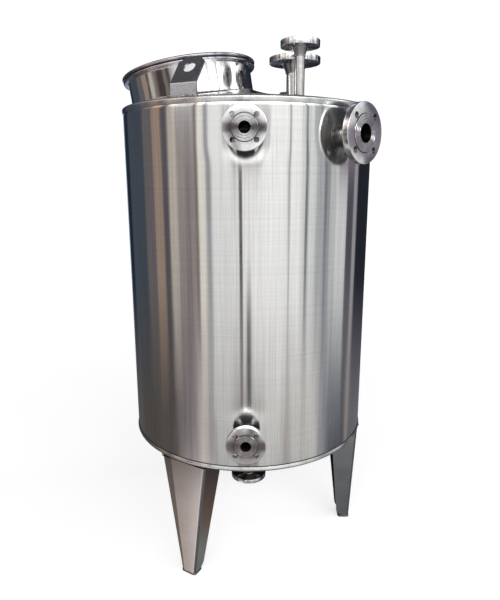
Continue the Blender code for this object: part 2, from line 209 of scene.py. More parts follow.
def tone(code):
    """An sRGB hex colour as linear red, green and blue, with an alpha of 1."""
    parts = [int(code[i:i + 2], 16) / 255 for i in (0, 2, 4)]
    return [c / 12.92 if c <= 0.04045 else ((c + 0.055) / 1.055) ** 2.4 for c in parts] + [1]


def fill(tree, made, inputs):
    """Sets a node's inputs, each from a plain value or another node's output."""
    for key, value in inputs.items():
        if isinstance(value, bpy.types.NodeSocket):
            tree.links.new(value, made.inputs[key])
        else:
            made.inputs[key].default_value = value


def node(tree, kind, inputs, out=0, **settings):
    """The chosen output of a new node."""
    made = tree.nodes.new(kind)
    for key, value in settings.items():
        setattr(made, key, value)
    fill(tree, made, inputs)
    return made.outputs[out]


def maths(tree, operation, a, b=0.0):
    return node(tree, "ShaderNodeMath", {0: a, 1: b}, operation=operation)


def vectors(tree, operation, a, b=(0, 0, 0), out=0):
    return node(tree, "ShaderNodeVectorMath", {0: a, 1: b}, out, operation=operation)


def axis(tree, vector, which):
    return node(tree, "ShaderNodeSeparateXYZ", {0: vector}, which)


def mix(tree, factor, a, b, blend="MIX"):
    """A colour between a and b, which are hex colours or outputs."""
    a, b = [tone(c) if isinstance(c, str) else c for c in (a, b)]
    return node(tree, "ShaderNodeMix", {0: factor, 6: a, 7: b}, 2, data_type="RGBA",
                blend_type=blend)


def spread(tree, value, low, high, to_low=0, to_high=1):
    """The value's range from low to high, laid on another range and held at its ends."""
    return node(tree, "ShaderNodeMapRange", {"Value": value, "From Min": low, "From Max": high,
                                             "To Min": to_low, "To Max": to_high})


def stored(tree, name, out):
    """What the mesh stores under the name."""
    return node(tree, "ShaderNodeAttribute", {}, out, attribute_name=name)


def own_place(tree, stretch=(1, 1, 1)):
    """A point's place in its piece's own frame, stretched along each axis."""
    return vectors(tree, "MULTIPLY", stored(tree, "own", "Vector"), stretch)


def noise(tree, scale, detail, rough=0.5, stretch=(1, 1, 1)):
    return node(tree, "ShaderNodeTexNoise", {"Vector": own_place(tree, stretch), "Scale": scale,
                                             "Detail": detail, "Roughness": rough})


def bump(tree, height, distance, normal=None):
    inputs = {"Height": height, "Distance": distance, "Strength": 1.0}
    if normal:
        inputs["Normal"] = normal
    return node(tree, "ShaderNodeBump", inputs)


def metal(maker):
    """A material with the inputs that its maker gives. A metal's grain runs round its piece."""
    made = bpy.data.materials.new(maker.__name__)
    made.use_nodes = True
    tree = made.node_tree
    inputs = {"Metallic": 1.0, **maker(tree)}
    if "Anisotropic" in inputs:
        inputs["Anisotropic Rotation"] = 0.25
        inputs["Tangent"] = stored(tree, "grain", "Vector")
    fill(tree, tree.nodes["Principled BSDF"], inputs)
    return made


def look(colour, rough, normal, **more):
    """Inputs for a shader."""
    return {"Base Color": colour, "Roughness": rough, "Normal": normal, **more}


def dark_inside(tree, colour, rough):
    """The colour and the roughness, turned near black and rougher where a face is marked inside:
    painted shade in bores and hollows, and also a dark seam and the darker foot pads.
    """
    inside = stored(tree, "inside", "Fac")
    roughened = maths(tree, "MULTIPLY", inside, 0.6)
    return mix(tree, inside, colour, "1d1a19"), maths(tree, "MAXIMUM", rough, roughened)


def shell_steel(tree):
    """Bright rolled sheet: fine grain round the tank, faint long lines down it, smears."""
    grain = noise(tree, 30, 4, 0.8, (0.06, 0.06, 14))
    waves = noise(tree, 13, 2, 0.4, (1, 1, 0.05))
    lines = noise(tree, 170, 3, 0.6, (1, 1, 0.02))
    smears = noise(tree, 9, 4, 0.6, (1, 1, 0.5))
    normal = bump(tree, lines, 0.000018, bump(tree, waves, 0.0005))
    for name, (_, azimuth, height, _) in SIDE_NOZZLES.items():
        depth, reach, width, lift, way = DISHES[name]
        centre = side_frame(azimuth, height + lift, 0).translation
        off = vectors(tree, "SUBTRACT", own_place(tree), centre)
        across = vectors(tree, "MULTIPLY", off, (1 / width, 1 / width, 0))
        across = vectors(tree, "LENGTH", across, out=1)
        along = maths(tree, "MULTIPLY", axis(tree, off, 2), way / reach)
        along = maths(tree, "MAXIMUM", along, 0)
        dish = maths(tree, "ADD", maths(tree, "POWER", along, 4), maths(tree, "POWER", across, 2))
        dish = maths(tree, "POWER", math.e, maths(tree, "MULTIPLY", dish, -1))
        normal = bump(tree, maths(tree, "MULTIPLY", dish, -depth), 1.0, normal)
    colour = mix(tree, spread(tree, lines, 0.35, 0.7), "e3e2e1", "f1f1f0")
    colour = mix(tree, spread(tree, grain, 0.4, 0.6, 0, 0.11), colour, "8f8f8f")
    return look(colour, spread(tree, smears, 0.35, 0.7, 0.1, 0.14), normal, Anisotropic=1.0)


def rim_steel(tree):
    """The ends and their rims: sheet as on the shell, duller where it was rolled."""
    lines = noise(tree, 60, 3, 0.6, (1, 1, 0.3))
    smears = noise(tree, 25, 4, 0.6)
    colour = mix(tree, spread(tree, smears, 0.35, 0.7), "dddcda", "efefee")
    rough = spread(tree, smears, 0.35, 0.7, 0.22, 0.3)
    return look(*dark_inside(tree, colour, rough), bump(tree, lines, 0.00002), Anisotropic=0.9)


def mirror_steel(tree):
    """Mirror polish, with the slow waves of hand polishing and painted shade on the neck beside
    the lug.
    """
    waves = noise(tree, 22, 3, 0.5, (1, 1, 0.25))
    rings = noise(tree, 22, 3, 0.6, (1, 1, 50))
    away = vectors(tree, "DISTANCE", own_place(tree, (1, 1, 0)), LUG_SHADE_AT, 1)
    height = axis(tree, own_place(tree), 2)
    # Painted shade beside the lug, on the neck below its lip
    lug_shade = maths(tree, "MULTIPLY", spread(tree, away, 0.015, 0.042, 0.85, 0),
                 spread(tree, height, NECK_HEIGHT - 0.006, NECK_HEIGHT, 1, 0))
    lip = spread(tree, height, NECK_HEIGHT - 0.002, NECK_HEIGHT + 0.002, 0, 0.8)
    colour = mix(tree, lip, mix(tree, waves, "dcdbda", "f4f4f4"), "b3abb5")
    rough = spread(tree, noise(tree, 30, 4), 0.35, 0.7, 0.04, 0.12)
    normal = bump(tree, rings, 0.000008, bump(tree, waves, 0.0007))
    return look(mix(tree, lug_shade, colour, "564a47"), rough, normal, Anisotropic=0.35)


def collar_steel(tree):
    """Polished like the neck, and near black, rough and not metallic where the sheet was drawn
    most, towards the roof's middle.
    """
    across = axis(tree, own_place(tree), 0)
    stains = noise(tree, 40, 3)
    dark_tone = mix(tree, stains, "0c0b0e", "201e23")

    def over(start, end):
        return spread(tree, across, -0.03, 0.012, start, end)

    return look(mix(tree, over(0, 1), "e6e5e4", dark_tone), over(0.1, 0.7),
                bump(tree, stains, 0.0003), Metallic=over(1, 0), **{"Specular IOR Level": 0.15})


def flange_steel(tree):
    """Turned steel: fine grooves from the lathe round the flange's own axis."""
    radius = vectors(tree, "LENGTH", own_place(tree, (1, 1, 0)), out=1)
    height = axis(tree, own_place(tree), 2)
    cuts = node(tree, "ShaderNodeTexNoise", {"W": maths(tree, "ADD", radius, height),
                "Scale": 1500.0, "Detail": 3.0}, noise_dimensions="1D")
    stains = noise(tree, 45, 5, 0.6)
    colour = mix(tree, spread(tree, stains, 0.35, 0.65), "e9e8e9", "f9f9fa")
    rough = spread(tree, cuts, 0.3, 0.7, 0.09, 0.13)
    return look(*dark_inside(tree, colour, rough), bump(tree, cuts, 0.00002), Anisotropic=1.0)


def tube_steel(tree):
    """Polished tube with light drawing lines along it."""
    lines = noise(tree, 260, 3, 0.6, (1, 1, 0.05))
    stains = noise(tree, 60, 4)
    colour = mix(tree, stains, "c4c2c1", "ececec")
    rough = spread(tree, stains, 0.3, 0.7, 0.1, 0.22)
    return look(*dark_inside(tree, colour, rough), bump(tree, lines, 0.00005), Anisotropic=0.4)


def leg_steel(tree):
    """Sheet with a fine grain: pitted, and a little browner in places."""
    pits = noise(tree, 900, 3, 0.7)
    clouds = noise(tree, 14, 4, 0.6)
    colour = mix(tree, spread(tree, clouds, 0.35, 0.65), "d6d2cf", "e2dfdd")
    colour = mix(tree, spread(tree, pits, 0.35, 0.75, 0, 0.4), colour, "8f8884")
    rough = spread(tree, clouds, 0.3, 0.7, 0.075, 0.1)
    return look(*dark_inside(tree, colour, rough), bump(tree, clouds, 0.00003), Anisotropic=1.0)


def lug_steel(tree):
    """Dull rolled plate with mill marks."""
    marks = noise(tree, 70, 4, 0.65, (1, 1, 4))
    specks = noise(tree, 700, 2)
    colour = mix(tree, spread(tree, marks, 0.35, 0.65), "b4b3b7", "d6d6da")
    return look(colour, spread(tree, specks, 0.3, 0.7, 0.24, 0.32), bump(tree, specks, 0.00002))


def weld_steel(tree):
    """Weld metal, straw to brown where it grew hot."""
    heat = noise(tree, 120, 3)
    colour = mix(tree, spread(tree, heat, 0.4, 0.65), "d8d5d2", "8f8176")
    return look(colour, 0.3, bump(tree, noise(tree, 900, 2), 0.0001))


def shadowed_weld(tree):
    """Weld metal painted near black: painted shadow along the joint it fills."""
    heat = noise(tree, 200, 3)
    return look(mix(tree, heat, "171417", "4d4748"), 0.5, bump(tree, heat, 0.0001))


def gasket_rubber(tree):
    """Black rubber with a fine grain."""
    grain = noise(tree, 1200, 3)
    return look(mix(tree, grain, "0c0c0d", "26262a"), 0.55, bump(tree, grain, 0.0001),
                Metallic=0.0)


# Meshes


def new_object(name, data):
    obj = bpy.data.objects.new(name, data)
    bpy.context.scene.collection.objects.link(obj)
    return obj


def add_piece(name, mesh, slot, stands_for=None, looks=None):
    """A piece with its finish, which may stand for a CAD node."""
    obj = new_object(name, mesh)
    mesh.materials.clear()
    mesh.materials.append(MATERIALS[looks or slot])
    if stands_for:
        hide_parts(stands_for)
    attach(obj, "root")


def applied(mesh, kind, *targets, **settings):
    """The mesh with a modifier applied, once for each target object if there are any."""
    obj = new_object("blank", mesh)
    for target in targets or [None]:
        modifier = obj.modifiers.new(kind, kind)
        for key, value in settings.items():
            setattr(modifier, key, value)
        if target:
            modifier.object = target
    bpy.context.view_layer.update()
    graph = bpy.context.evaluated_depsgraph_get()
    made = bpy.data.meshes.new_from_object(obj.evaluated_get(graph))
    for old in (obj, *targets):
        bpy.data.objects.remove(old, do_unlink=True)
    return made


def drill(mesh, cutters):
    """The mesh less the cutting meshes."""
    tools = [new_object("tool", cutter) for cutter in cutters]
    return applied(mesh, "BOOLEAN", *tools, operation="DIFFERENCE", solver="EXACT")


def from_bmesh(bm):
    mesh = bpy.data.meshes.new("made")
    bm.to_mesh(mesh)
    bm.free()
    return mesh


def from_points(verts, faces, matrix):
    mesh = bpy.data.meshes.new("made")
    mesh.from_pydata(verts, [], faces)
    mesh.transform(matrix)
    return mesh


def face_outwards(mesh):
    bm = bmesh.new()
    bm.from_mesh(mesh)
    bmesh.ops.recalc_face_normals(bm, faces=bm.faces)
    bm.to_mesh(mesh)
    bm.free()
    return mesh


def rod(radius, low, high, matrix, steps=64):
    """A cylinder along the matrix's Z axis, to cut a hole with."""
    bm = bmesh.new()
    middle = matrix @ move(0, 0, (low + high) / 2)
    bmesh.ops.create_cone(bm, cap_ends=True, segments=steps, radius1=radius, radius2=radius,
                          depth=high - low, matrix=middle)
    return from_bmesh(bm)


def revolve(points, matrix, steps):
    """A closed mesh turned from (radius, height) points in counter-clockwise order."""
    verts, rings = [], []
    angles = [2 * math.pi * k / steps for k in range(steps)]
    for radius, height in points:
        if radius < 1e-7:
            rings.append([len(verts)] * steps)
            verts.append((0, 0, height))
        else:
            rings.append(list(range(len(verts), len(verts) + steps)))
            verts += [(radius * math.cos(a), radius * math.sin(a), height) for a in angles]
    faces = []
    for low, high in zip(rings, rings[1:] + rings[:1]):
        for k in range(steps):
            n = (k + 1) % steps
            face = list(dict.fromkeys([low[k], low[n], high[n], high[k]]))
            if len(face) > 2:
                faces.append(face)
    return from_points(verts, faces, matrix)


def unit(rows):
    """Each row at a length of 1."""
    return rows / np.maximum(np.linalg.norm(rows, axis=1, keepdims=True), 1e-9)


def own_points(mesh, matrix):
    """Each point's place in the matrix's frame."""
    flat = np.empty(3 * len(mesh.vertices))
    mesh.vertices.foreach_get("co", flat)
    return (flat.reshape(-1, 3) - np.array(matrix.translation)) @ np.array(matrix.to_3x3())


def mark_frame(mesh, matrix):
    """Stores each point's place and grain direction in the piece's own frame."""
    own = own_points(mesh, matrix)
    round_it = unit(np.stack([-own[:, 1], own[:, 0], np.zeros(len(own))], -1))
    for name, values in (("own", own), ("grain", round_it @ np.array(matrix.to_3x3()).T)):
        made = mesh.attributes.new(name, "FLOAT_VECTOR", "POINT")
        made.data.foreach_set("vector", values.astype(np.float32).ravel())


def own_faces(mesh, matrix):
    """Each face's number of corners, the corners' places, and its middle and normal."""
    counts = np.empty(len(mesh.polygons), int)
    mesh.polygons.foreach_get("loop_total", counts)
    corners = np.empty(len(mesh.loops), int)
    mesh.loops.foreach_get("vertex_index", corners)
    spots = own_points(mesh, matrix)[corners]
    middle = np.add.reduceat(spots, np.cumsum(counts) - counts) / counts[:, None]
    facing = np.array([p.normal for p in mesh.polygons]) @ np.array(matrix.to_3x3())
    return counts, spots, middle, facing


def mark_inside(mesh, value, counts):
    """Stores how dark and dull each face is, from 0 for a polished one to 1; in hollows this
    darkness is painted shade.
    """
    made = mesh.attributes.new("inside", "FLOAT", "CORNER")
    made.data.foreach_set("value", np.repeat(value, counts).astype(np.float32))


def smooth_turned(mesh, matrix, points, spot, facing):
    """Gives each corner the turned surface's own normal, so that no facet shows."""
    start = np.array(points)
    along = np.roll(start, -1, axis=0) - start
    length = np.maximum(np.linalg.norm(along, axis=1), 1e-12)
    out = np.stack([along[:, 1], -along[:, 0]], -1) / length[:, None]
    before = np.roll(out, 1, axis=0)
    joined = unit(out + before)
    soft = (out * before).sum(1) > math.cos(math.radians(CREASE))
    first = np.where(soft[:, None], joined, out)
    last = np.where(np.roll(soft, -1)[:, None], np.roll(joined, -1, axis=0), out)

    radius = np.hypot(spot[:, 0], spot[:, 1])
    away = unit(np.where(radius[:, None] > 1e-6, spot[:, :2], facing[:, :2]))
    tilt = np.stack([(facing[:, :2] * away).sum(1), facing[:, 2]], -1)
    best = np.full(len(spot), 1.5e-4)
    normals = facing.copy()
    for a, d, size, n, n0, n1 in zip(start, along, length, out, first, last):
        step = np.stack([radius, spot[:, 2]], -1) - a
        share = np.clip((step @ d) / size ** 2, 0, 1)
        off = np.linalg.norm(step - share[:, None] * d, axis=1)
        hit = (off < best) & (tilt @ n > 0.9)
        best[hit] = off[hit]
        bent = unit(n0 + share[:, None] * (n1 - n0))
        full = np.concatenate([away * bent[:, :1], bent[:, 1:]], 1)
        normals[hit] = full[hit]
    mesh.shade_smooth()
    mesh.normals_split_custom_set((normals @ np.array(matrix.to_3x3()).T).tolist())


def turned(name, points, slot, matrix=None, steps=256, cutters=(), stands_for=None,
           looks=None, bore=0.0, darkening=None):
    """A piece turned on a lathe about the matrix's Z axis, with painted shade inside its bore."""
    matrix = AXIS @ (matrix or Matrix())
    array = np.array(points, float)
    after = np.roll(array, -1, axis=0)
    if (array[:, 0] * after[:, 1] - after[:, 0] * array[:, 1]).sum() < 0:
        points = points[::-1]
    mesh = revolve(points, matrix, steps)
    if cutters:
        mesh = drill(mesh, cutters)
    mark_frame(mesh, matrix)
    counts, spots, middle, facing = own_faces(mesh, matrix)
    smooth_turned(mesh, matrix, points, spots, np.repeat(facing, counts, axis=0))
    # Painted shade inside the bore, and whatever more the darkening function gives
    value = (np.hypot(middle[:, 0], middle[:, 1]) < bore + 0.0009).astype(float)
    if darkening:
        value = np.maximum(value, darkening(middle, facing))
    mark_inside(mesh, value, counts)
    add_piece(name, mesh, slot, stands_for, looks)


def soften(mesh, matrix, angle=CREASE):
    """Smooth shading with creases, for a piece that isn't turned."""
    mark_frame(mesh, AXIS @ matrix)
    mesh.shade_smooth()
    mesh.set_sharp_from_angle(angle=math.radians(angle))
    return mesh


def sweep(name, path, radius, up, slot, sides, closed=True, pitch=0.0, looks=None,
          stands_for=None):
    """A round bead or rod along a path in the tank's frame; a pitch makes weld ripples."""
    path = np.array(path, float)
    count = len(path)
    if closed:
        ahead = np.roll(path, -1, axis=0) - np.roll(path, 1, axis=0)
    else:
        ahead = np.gradient(path, axis=0)
    ahead = unit(ahead)
    side = unit(np.cross(ahead, np.array(up, float)))
    lift = np.cross(side, ahead)
    gone = np.concatenate([[0], np.cumsum(np.linalg.norm(np.diff(path, axis=0), axis=1))])
    size = np.full(count, float(radius))
    if pitch:
        size *= 1 + 0.13 * np.abs(np.sin(math.pi * gone / pitch))
        size *= 1 + 0.08 * np.sin(gone / (2.7 * pitch))
    verts, faces = [], []
    for i in range(sides):
        a = 2 * math.pi * i / sides
        verts.append(path + size[:, None] * (math.cos(a) * side + math.sin(a) * lift))
        j = (i + 1) % sides
        for k in range(count if closed else count - 1):
            n = (k + 1) % count
            faces.append((i * count + k, i * count + n, j * count + n, j * count + k))
    if not closed:
        faces.append([i * count for i in range(sides)])
        faces.append([i * count + count - 1 for i in reversed(range(sides))])
    mesh = from_points(np.concatenate(verts).tolist(), faces, AXIS)
    add_piece(name, soften(face_outwards(mesh), Matrix(), 50), slot, stands_for, looks)


def weld(name, path, radius, up, slot, closed=True, looks="weld_steel"):
    sweep(name, path, radius, up, slot, 8, closed, WELD_PITCH, looks)


def arc(centre, radius, start, end, steps):
    """Points of an arc, with angles in degrees from the outward direction."""
    angles = [math.radians(start + (end - start) * i / steps) for i in range(steps + 1)]
    return [(centre[0] + radius * math.cos(a), centre[1] + radius * math.sin(a)) for a in angles]


def half_round(radius, low, high, steps=12):
    half = (high - low) / 2
    return arc((radius - half, low + half), half, 90, -90, steps)


def ring(radius, count, matrix=Matrix(), height=0.0):
    """Points of a circle about the matrix's Z axis, in the tank's frame."""
    angles = [2 * math.pi * k / count for k in range(count)]
    return [matrix @ Vector((radius * math.cos(a), radius * math.sin(a), height))
            for a in angles]


def walk(corners):
    """Short steps along the straight lines from corner to corner, for a weld to follow."""
    out = []
    for (x0, y0), (x1, y1) in zip(corners, corners[1:]):
        steps = max(1, int(math.hypot(x1 - x0, y1 - y0) / WELD_STEP))
        out += [(x0 + (x1 - x0) * i / steps, y0 + (y1 - y0) * i / steps) for i in range(steps)]
    return out


# The vessel


def cone_drop(radius):
    return (CONE_RADIUS - radius) * math.tan(CONE_SLOPE)


def roof_height(radius):
    return ROOF_EDGE + cone_drop(radius)


def rim_face(edge, turn):
    """A rim's outer points, from its rounded edge to where it meets the shell."""
    out = []
    for i in range(1, 11):
        a = math.radians(9 * i)
        out.append((CONE_RADIUS + (RIM_OUT - CONE_RADIUS) * math.sin(a),
                    edge + turn * KNUCKLE_HIGH * (1 - math.cos(a))))
    for i in range(1, 13):
        share = i / 12
        out.append((RIM_OUT - RIM_LEAN * share ** 1.5,
                    edge + turn * (KNUCKLE_HIGH + (RIM_HEIGHT - KNUCKLE_HIGH) * share)))
    return out


def side_frame(azimuth, height, reach):
    return rotate(azimuth, "Z") @ move(TANK_RADIUS + reach, 0, RIM_LOW + height) @ rotate(90, "Y")


def manway_frame():
    foot = move(MANWAY_OFFSET, 0, roof_height(MANWAY_OFFSET))
    return rotate(MANWAY_AZIMUTH, "Z") @ foot @ Matrix.Rotation(CONE_SLOPE, 4, "Y")


def make_shell():
    """The cylinder, with its upper edge curled in and rings of points round the nozzles."""
    low, high = FLOOR_EDGE + RIM_HEIGHT + GAP, ROOF_EDGE - RIM_HEIGHT - GAP
    inner = TANK_RADIUS - SHEET
    levels = [high - 0.0088]
    cutters = []
    for spec, azimuth, height, reach in SIDE_NOZZLES.values():
        levels += [RIM_LOW + height + 0.045, RIM_LOW + height - 0.045]
        cutters.append(rod(spec.tube + GAP, -reach - 0.03, -reach + 0.02,
                           AXIS @ side_frame(azimuth, height, reach)))
    levels = sorted({round(v, 4) for v in levels}, reverse=True) + [low + 0.0006]
    curl = [(TANK_RADIUS - 0.0009 * (1 - t / 8) ** 2, high - 0.0011 * t) for t in range(8)]
    points = ([(inner, high)] + curl + [(TANK_RADIUS, z) for z in levels]
              + [(TANK_RADIUS - 0.0006, low), (inner, low)])
    turned("shell_skin", points, "shell_steel", cutters=cutters, stands_for="shell")


def make_roof():
    inner = TANK_RADIUS - SHEET
    points = ([(r, roof_height(r)) for r in ROOF_RADII]
              + [(CONE_RADIUS, ROOF_EDGE)] + rim_face(ROOF_EDGE, -1)
              + [(inner, ROOF_EDGE - RIM_HEIGHT)]
              + [(r, roof_height(r) - CONE_SHEET) for r in [inner] + ROOF_RADII[::-1]])
    cutters = [rod(NECK_RADIUS + GAP, -NECK_HEIGHT, NECK_HEIGHT, AXIS @ manway_frame(), 160)]
    for spec, (x, y), _, _ in ROOF_NOZZLES.values():
        middle = roof_height(math.hypot(x, y))
        cutters.append(rod(spec.tube + GAP, middle - 0.04, middle + 0.04,
                           AXIS @ move(x, y, 0)))
    turned("roof_skin", points, "shell_steel", cutters=cutters, stands_for="roof_cone",
           looks="rim_steel")


def make_floor():
    inner = TANK_RADIUS - SHEET
    hole = OUTLET_FLANGE.tube + GAP
    drain = FLOOR_EDGE - cone_drop(hole)
    points = (rim_face(FLOOR_EDGE, 1)[::-1]
              + [(CONE_RADIUS, FLOOR_EDGE), (hole, drain),
                 (hole, drain + CONE_SHEET), (inner, FLOOR_EDGE + CONE_SHEET - cone_drop(inner)),
                 (inner, FLOOR_EDGE + RIM_HEIGHT)])
    seam = FLOOR_EDGE + RIM_HEIGHT - SEAM_DARK
    turned("floor_skin", points, "shell_steel", stands_for="floor_cone", looks="rim_steel",
           darkening=lambda middle, _: 0.9 * (middle[:, 2] > seam))


def make_manway():
    """The neck with its lip, cut off under the roof, the gasket, and the lid with its handle."""
    frame = manway_frame()
    across, _, along = frame.to_3x3().col
    bore = NECK_RADIUS - NECK_WALL
    points = ([(bore, LIP_TOP)] + half_round(LIP_RADIUS, NECK_HEIGHT, LIP_TOP)
              + arc((NECK_RADIUS + NECK_FILLET, NECK_HEIGHT - NECK_FILLET), NECK_FILLET,
                    90, 180, 6)
              + [(NECK_RADIUS, 0.02), (NECK_RADIUS, -NECK_INSIDE), (bore, -NECK_INSIDE)])
    under = roof_height(0) - CONE_SHEET
    far_below = RIM_TOP - NECK_RADIUS
    inside = [(0, far_below), (TANK_RADIUS, far_below),
              (TANK_RADIUS, under - TANK_RADIUS * math.tan(CONE_SLOPE)), (0, under)]
    turned("neck_skin", points, "mirror_steel", frame, 256,
           [revolve(inside, AXIS, 256)], "manway_neck")

    points = ([(NECK_RADIUS, GASKET_TOP)] + half_round(GASKET_RADIUS, GASKET_LOW, GASKET_TOP, 6)
              + [(NECK_RADIUS, GASKET_LOW)])
    turned("gasket_skin", points, "gasket_rubber", frame, 192,
           stands_for="manway_gasket")

    crown = bore - 0.003
    plate = LID_TOP - 0.0005
    dish = [crown * i / 20 for i in range(21)]
    top = [(r, plate + LID_DISH * (1 - (r / crown) ** 2)) for r in dish]
    points = (top + half_round(LID_RADIUS, LID_LOW, LID_TOP) + [(bore, LID_LOW)]
              + [(r, z - SHEET) for r, z in reversed(top)])
    turned("lid_skin", points, "mirror_steel", frame, stands_for="manway_lid")

    foot = plate + LID_DISH * (1 - (HANDLE_HALF / crown) ** 2) + 0.0006
    bow = plate + LID_DISH + HANDLE_RISE - HANDLE_ROD
    side = [(HANDLE_HALF, foot)] + arc((HANDLE_HALF - HANDLE_BEND, bow - HANDLE_BEND),
                                       HANDLE_BEND, 0, 90, 10)
    route = side + [(-y, z) for y, z in reversed(side)]
    sweep("handle_skin", [frame @ Vector((0, y, z)) for y, z in route], HANDLE_ROD, across,
          "mirror_steel", 24, closed=False, stands_for="lid_handle")
    for i, y in enumerate((HANDLE_HALF, -HANDLE_HALF)):
        foot_frame = frame @ move(0, y, foot)
        weld(f"handle_weld_{i + 1}", ring(0.0055, 60, foot_frame), BEAD["handle"], along,
             "mirror_steel")


def on_roof(frame, x, y):
    """The point of the roof under (x, y) of the frame, along the frame's Z axis."""
    low, high = -0.1, 0.1
    for _ in range(40):
        middle = (low + high) / 2
        point = frame @ Vector((x, y, middle))
        if point.z > roof_height(math.hypot(point.x, point.y)):
            high = middle
        else:
            low = middle
    return low


def make_collar():
    """The roof's sheet, drawn up to the neck, widest near the roof's middle; its weld."""
    frame = manway_frame()
    steps, rows = 256, 12
    verts, faces, seam = [], [], []
    wall, inner = NECK_RADIUS + 0.0006, NECK_RADIUS + GAP
    for k in range(steps):
        a = 2 * math.pi * k / steps
        c, s = math.cos(a), math.sin(a)
        share = ((1 - c) / 2) ** 1.5
        wide = COLLAR_WIDE[0] + share * (COLLAR_WIDE[1] - COLLAR_WIDE[0])
        bend = COLLAR_BEND * share * wide
        foot = on_roof(frame, wall * c, wall * s)
        edge = on_roof(frame, (wall + wide) * c, (wall + wide) * s) + 0.0003
        middle = on_roof(frame, (wall + bend) * c, (wall + bend) * s) + COLLAR_SWELL * share
        for j in range(rows + 1):
            t = j / rows
            ends, pull, top = (1 - t) ** 2, 2 * t * (1 - t), t * t
            radius = wall + ends * wide + pull * bend
            height = ends * edge + pull * middle + top * (foot + COLLAR_HIGH)
            verts.append((radius * c, radius * s, height))
        verts += [(inner * c, inner * s, foot + COLLAR_HIGH), (inner * c, inner * s, foot - 0.001)]
        seam.append(frame @ Vector((NECK_RADIUS * c, NECK_RADIUS * s, foot + COLLAR_HIGH)))
    size = rows + 3
    for k in range(steps):
        n = (k + 1) % steps
        for j in range(size):
            m = (j + 1) % size
            faces.append((k * size + j, n * size + j, n * size + m, k * size + m))
    mesh = face_outwards(from_points(verts, faces, AXIS @ frame))
    add_piece("manway_collar", soften(mesh, Matrix()), "shell_steel", looks="collar_steel")
    fine = []
    for a, b in zip(seam, seam[1:] + seam[:1]):
        fine += [a.lerp(b, i / 9) for i in range(9)]
    weld("manway_weld", fine, BEAD["manway"], frame.to_3x3().col[2], "shell_steel")


# Nozzles


def flange_outline(spec, hub):
    """The flange's section: grooved raised face, rounded rims and, with a hub, its taper."""
    bore = spec.tube - spec.wall
    radius, raised = spec.radius, spec.raised
    back = -RAISED_LIFT - spec.thick
    points = [(bore, -0.0012), (bore + 0.0012, 0)]
    groove = bore + 0.0036
    while groove < raised - 0.0040:
        points += [(groove, 0), (groove + 0.0006, -GROOVE_DEEP), (groove + 0.0024, -GROOVE_DEEP),
                   (groove + 0.0030, 0)]
        groove += GROOVE_PITCH
    points += [(raised - 0.0006, 0), (raised, -0.0006), (raised, -STEP_DEEP),
               (raised + 0.0013, -STEP_DEEP), (raised + 0.0016, -RAISED_LIFT)]
    edge = radius - FLANGE_EDGE
    points += arc((edge, -RAISED_LIFT - FLANGE_EDGE), FLANGE_EDGE, 90, 0, 5)
    points += arc((edge, back + FLANGE_EDGE), FLANGE_EDGE, 0, -90, 5)
    end = back - hub
    if hub:
        flare = spec.tube * 1.42
        points += arc((flare + HUB_FILLET, back - HUB_FILLET), HUB_FILLET, 90, 180, 8)
        points += [(spec.tube * 1.12, end + 0.003), (spec.tube * 1.10, end)]
    return points + [(bore, end)], end


def make_nozzle(name, spec, frame, length, hub=0, back_shade=0.8):
    """A flange with four holes, its tube to the given length, and the weld between them."""
    points, end = flange_outline(spec, hub)
    back = -RAISED_LIFT - spec.thick
    cutters = []
    for i in range(4):
        a = math.radians(45 + 90 * i)
        at = frame @ move(spec.circle * math.cos(a), spec.circle * math.sin(a), 0)
        cutters.append(rod(spec.hole, back - 0.02, 0.02, AXIS @ at, 48))

    def darkening(middle, facing):
        """Painted shade in the ring groove, on the back face, on the hub's flare under the flange,
        on the drilled walls and on the floors of the face's grooves.
        """
        radius, height, up = np.hypot(middle[:, 0], middle[:, 1]), middle[:, 2], facing[:, 2]
        past = radius - spec.raised
        groove = (abs(past - 0.0008) < 0.001) & (height < -RAISED_LIFT - 0.0004)
        flare = (hub > 0) & (height < back - 0.001) & (up < 0.2)
        shaded_back = (up < -0.8) & (radius < spec.radius - 0.0005)
        shaded_holes = ((abs(up) < 0.3) & (abs(past) > 0.0005)
                   & (abs(radius - spec.circle) < spec.hole + 0.001))
        # Painted shade on the floors of the raised face's grooves
        lines = (past < -0.001) & (height < -0.0002) & (height > -0.001)
        return np.select([groove, flare, shaded_back, shaded_holes, lines],
                         [0.95, 0.6, back_shade, 0.75, 0.2], 0)

    bore = spec.tube - spec.wall
    turned(name + "_flange_skin", points, "flange_steel", frame, 160, cutters,
           name + "_flange", bore=bore, darkening=darkening)
    tube = [(bore, end - GAP), (spec.tube, end - GAP), (spec.tube, -length),
            (bore, -length)]
    turned(name + "_tube_skin", tube, "tube_steel", frame, 96, stands_for=name + "_tube",
           bore=bore)
    at_joint = ring(spec.tube * (1.08 if hub else 1) + 0.0002, 240, frame, end - GAP)
    weld(name + "_flange_weld", at_joint, BEAD["flange"], frame.to_3x3().col[2], "tube_steel")


def make_side_nozzles():
    for name, (spec, azimuth, height, reach) in SIDE_NOZZLES.items():
        frame = side_frame(azimuth, height, reach)
        # The back of each side nozzle's flange gets painted shade
        make_nozzle(name, spec, frame, reach + SHEET + TUBE_INSIDE, back_shade=BACK_SHADE[name])
        path = []
        for x, y, _ in ring(spec.tube, 320):
            sunk = TANK_RADIUS - math.sqrt(TANK_RADIUS ** 2 - y * y)
            path.append(frame @ Vector((x, y, 0.0003 - reach - sunk)))
        weld(name + "_shell_weld", path, BEAD["shell"], frame.to_3x3().col[2], "shell_steel")


